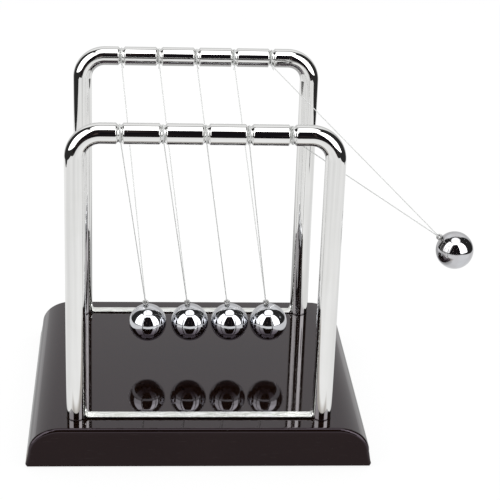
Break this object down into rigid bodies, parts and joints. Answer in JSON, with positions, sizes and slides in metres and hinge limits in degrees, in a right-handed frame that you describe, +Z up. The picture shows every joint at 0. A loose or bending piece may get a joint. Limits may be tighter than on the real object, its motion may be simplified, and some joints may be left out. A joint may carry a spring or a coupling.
{
  "type": "newtons cradle",
  "caption": "Desk toy: polished steel balls hang on V-shaped nylon lines between chromed tube frames on a glossy black base; the end balls and the whole row swing.",
  "frame": {"origin": "centre of the underside of the base, on the plane the object rests on", "axes": "+X along the two rails and the row of balls, towards the lifted end ball; -Y is the front; +Z up, away from the desk"},
  "size_m": [0.2412, 0.1612, 0.1831],
  "materials": {
    "base_gloss": "high gloss moulded black",
    "base_matt": "fine textured black",
    "pad_rubber": "matt black non-slip sheet",
    "chrome_tube": "bright chrome plate",
    "ball_steel": "mirror polished steel",
    "eyelet_steel": "bright plated wire",
    "nylon": "translucent monofilament",
    "screw_steel": "zinc plated",
    "plug_brass": "machined"
  },
  "bodies": {
    "stand": {"base_shell": "base_gloss", "bottom_cover": "base_matt", "base_pad": "pad_rubber", "cover_screw_front_left": "screw_steel", "cover_screw_front_right": "screw_steel", "cover_screw_rear_left": "screw_steel", "cover_screw_rear_right": "screw_steel", "frame_screw_front_left": "screw_steel", "frame_screw_front_right": "screw_steel", "frame_screw_rear_left": "screw_steel", "frame_screw_rear_right": "screw_steel", "post_plug_front_left": "plug_brass", "post_plug_front_right": "plug_brass", "post_plug_rear_left": "plug_brass", "post_plug_rear_right": "plug_brass", "front_frame": "chrome_tube", "rear_frame": "chrome_tube", "front_winding_1": "nylon", "front_winding_2": "nylon", "front_winding_3": "nylon", "front_winding_4": "nylon", "front_winding_5": "nylon", "rear_winding_1": "nylon", "rear_winding_2": "nylon", "rear_winding_3": "nylon", "rear_winding_4": "nylon", "rear_winding_5": "nylon"},
    "pendulum_2": {"ball_2": "ball_steel", "eyelet_2": "eyelet_steel", "line_2": "nylon", "front_knot_2": "nylon", "rear_knot_2": "nylon"},
    "pendulum_3": {"ball_3": "ball_steel", "eyelet_3": "eyelet_steel", "line_3": "nylon", "front_knot_3": "nylon", "rear_knot_3": "nylon"},
    "pendulum_4": {"ball_4": "ball_steel", "eyelet_4": "eyelet_steel", "line_4": "nylon", "front_knot_4": "nylon", "rear_knot_4": "nylon"},
    "hanger_1": {"front_knot_1": "nylon", "rear_knot_1": "nylon"},
    "pendulum_1": {"ball_1": "ball_steel", "eyelet_1": "eyelet_steel", "line_1": "nylon"},
    "hanger_5": {"front_knot_5": "nylon", "rear_knot_5": "nylon"},
    "pendulum_5": {"ball_5": "ball_steel", "eyelet_5": "eyelet_steel", "line_5": "nylon"}
  },
  "joints": [
    {"name": "row_swing", "type": "hinge", "parent": "stand", "child": "pendulum_3", "pos_m": [0, 0, 0.17475], "axis": [0, -1, 0], "range_deg": [-33, 17]},
    {"name": "ball_2_swing", "type": "hinge", "parent": "stand", "child": "pendulum_2", "pos_m": [-0.021, 0, 0.17475], "axis": [0, -1, 0], "range_deg": [-33, 17]},
    {"name": "ball_4_swing", "type": "hinge", "parent": "stand", "child": "pendulum_4", "pos_m": [0.021, 0, 0.17475], "axis": [0, -1, 0], "range_deg": [-33, 17]},
    {"name": "hanger_1_swing", "type": "hinge", "parent": "stand", "child": "hanger_1", "pos_m": [-0.042, 0, 0.17475], "axis": [0, -1, 0], "range_deg": [-33, 17]},
    {"name": "hanger_5_swing", "type": "hinge", "parent": "stand", "child": "hanger_5", "pos_m": [0.042, 0, 0.17475], "axis": [0, -1, 0], "range_deg": [-33, 17]},
    {"name": "ball_1_lift", "type": "hinge", "parent": "hanger_1", "child": "pendulum_1", "pos_m": [-0.042, 0, 0.17475], "axis": [0, -1, 0], "range_deg": [-50, 0.9]},
    {"name": "ball_5_lift", "type": "hinge", "parent": "hanger_5", "child": "pendulum_5", "pos_m": [0.042, 0, 0.17475], "axis": [0, -1, 0], "range_deg": [-41.05, 13.75]}
  ],
  "couplings": [
    {"joint": "ball_2_swing", "follows": "row_swing", "ratio": 1},
    {"joint": "ball_4_swing", "follows": "row_swing", "ratio": 1},
    {"joint": "hanger_1_swing", "follows": "row_swing", "ratio": 1},
    {"joint": "hanger_5_swing", "follows": "row_swing", "ratio": 1}
  ]
}
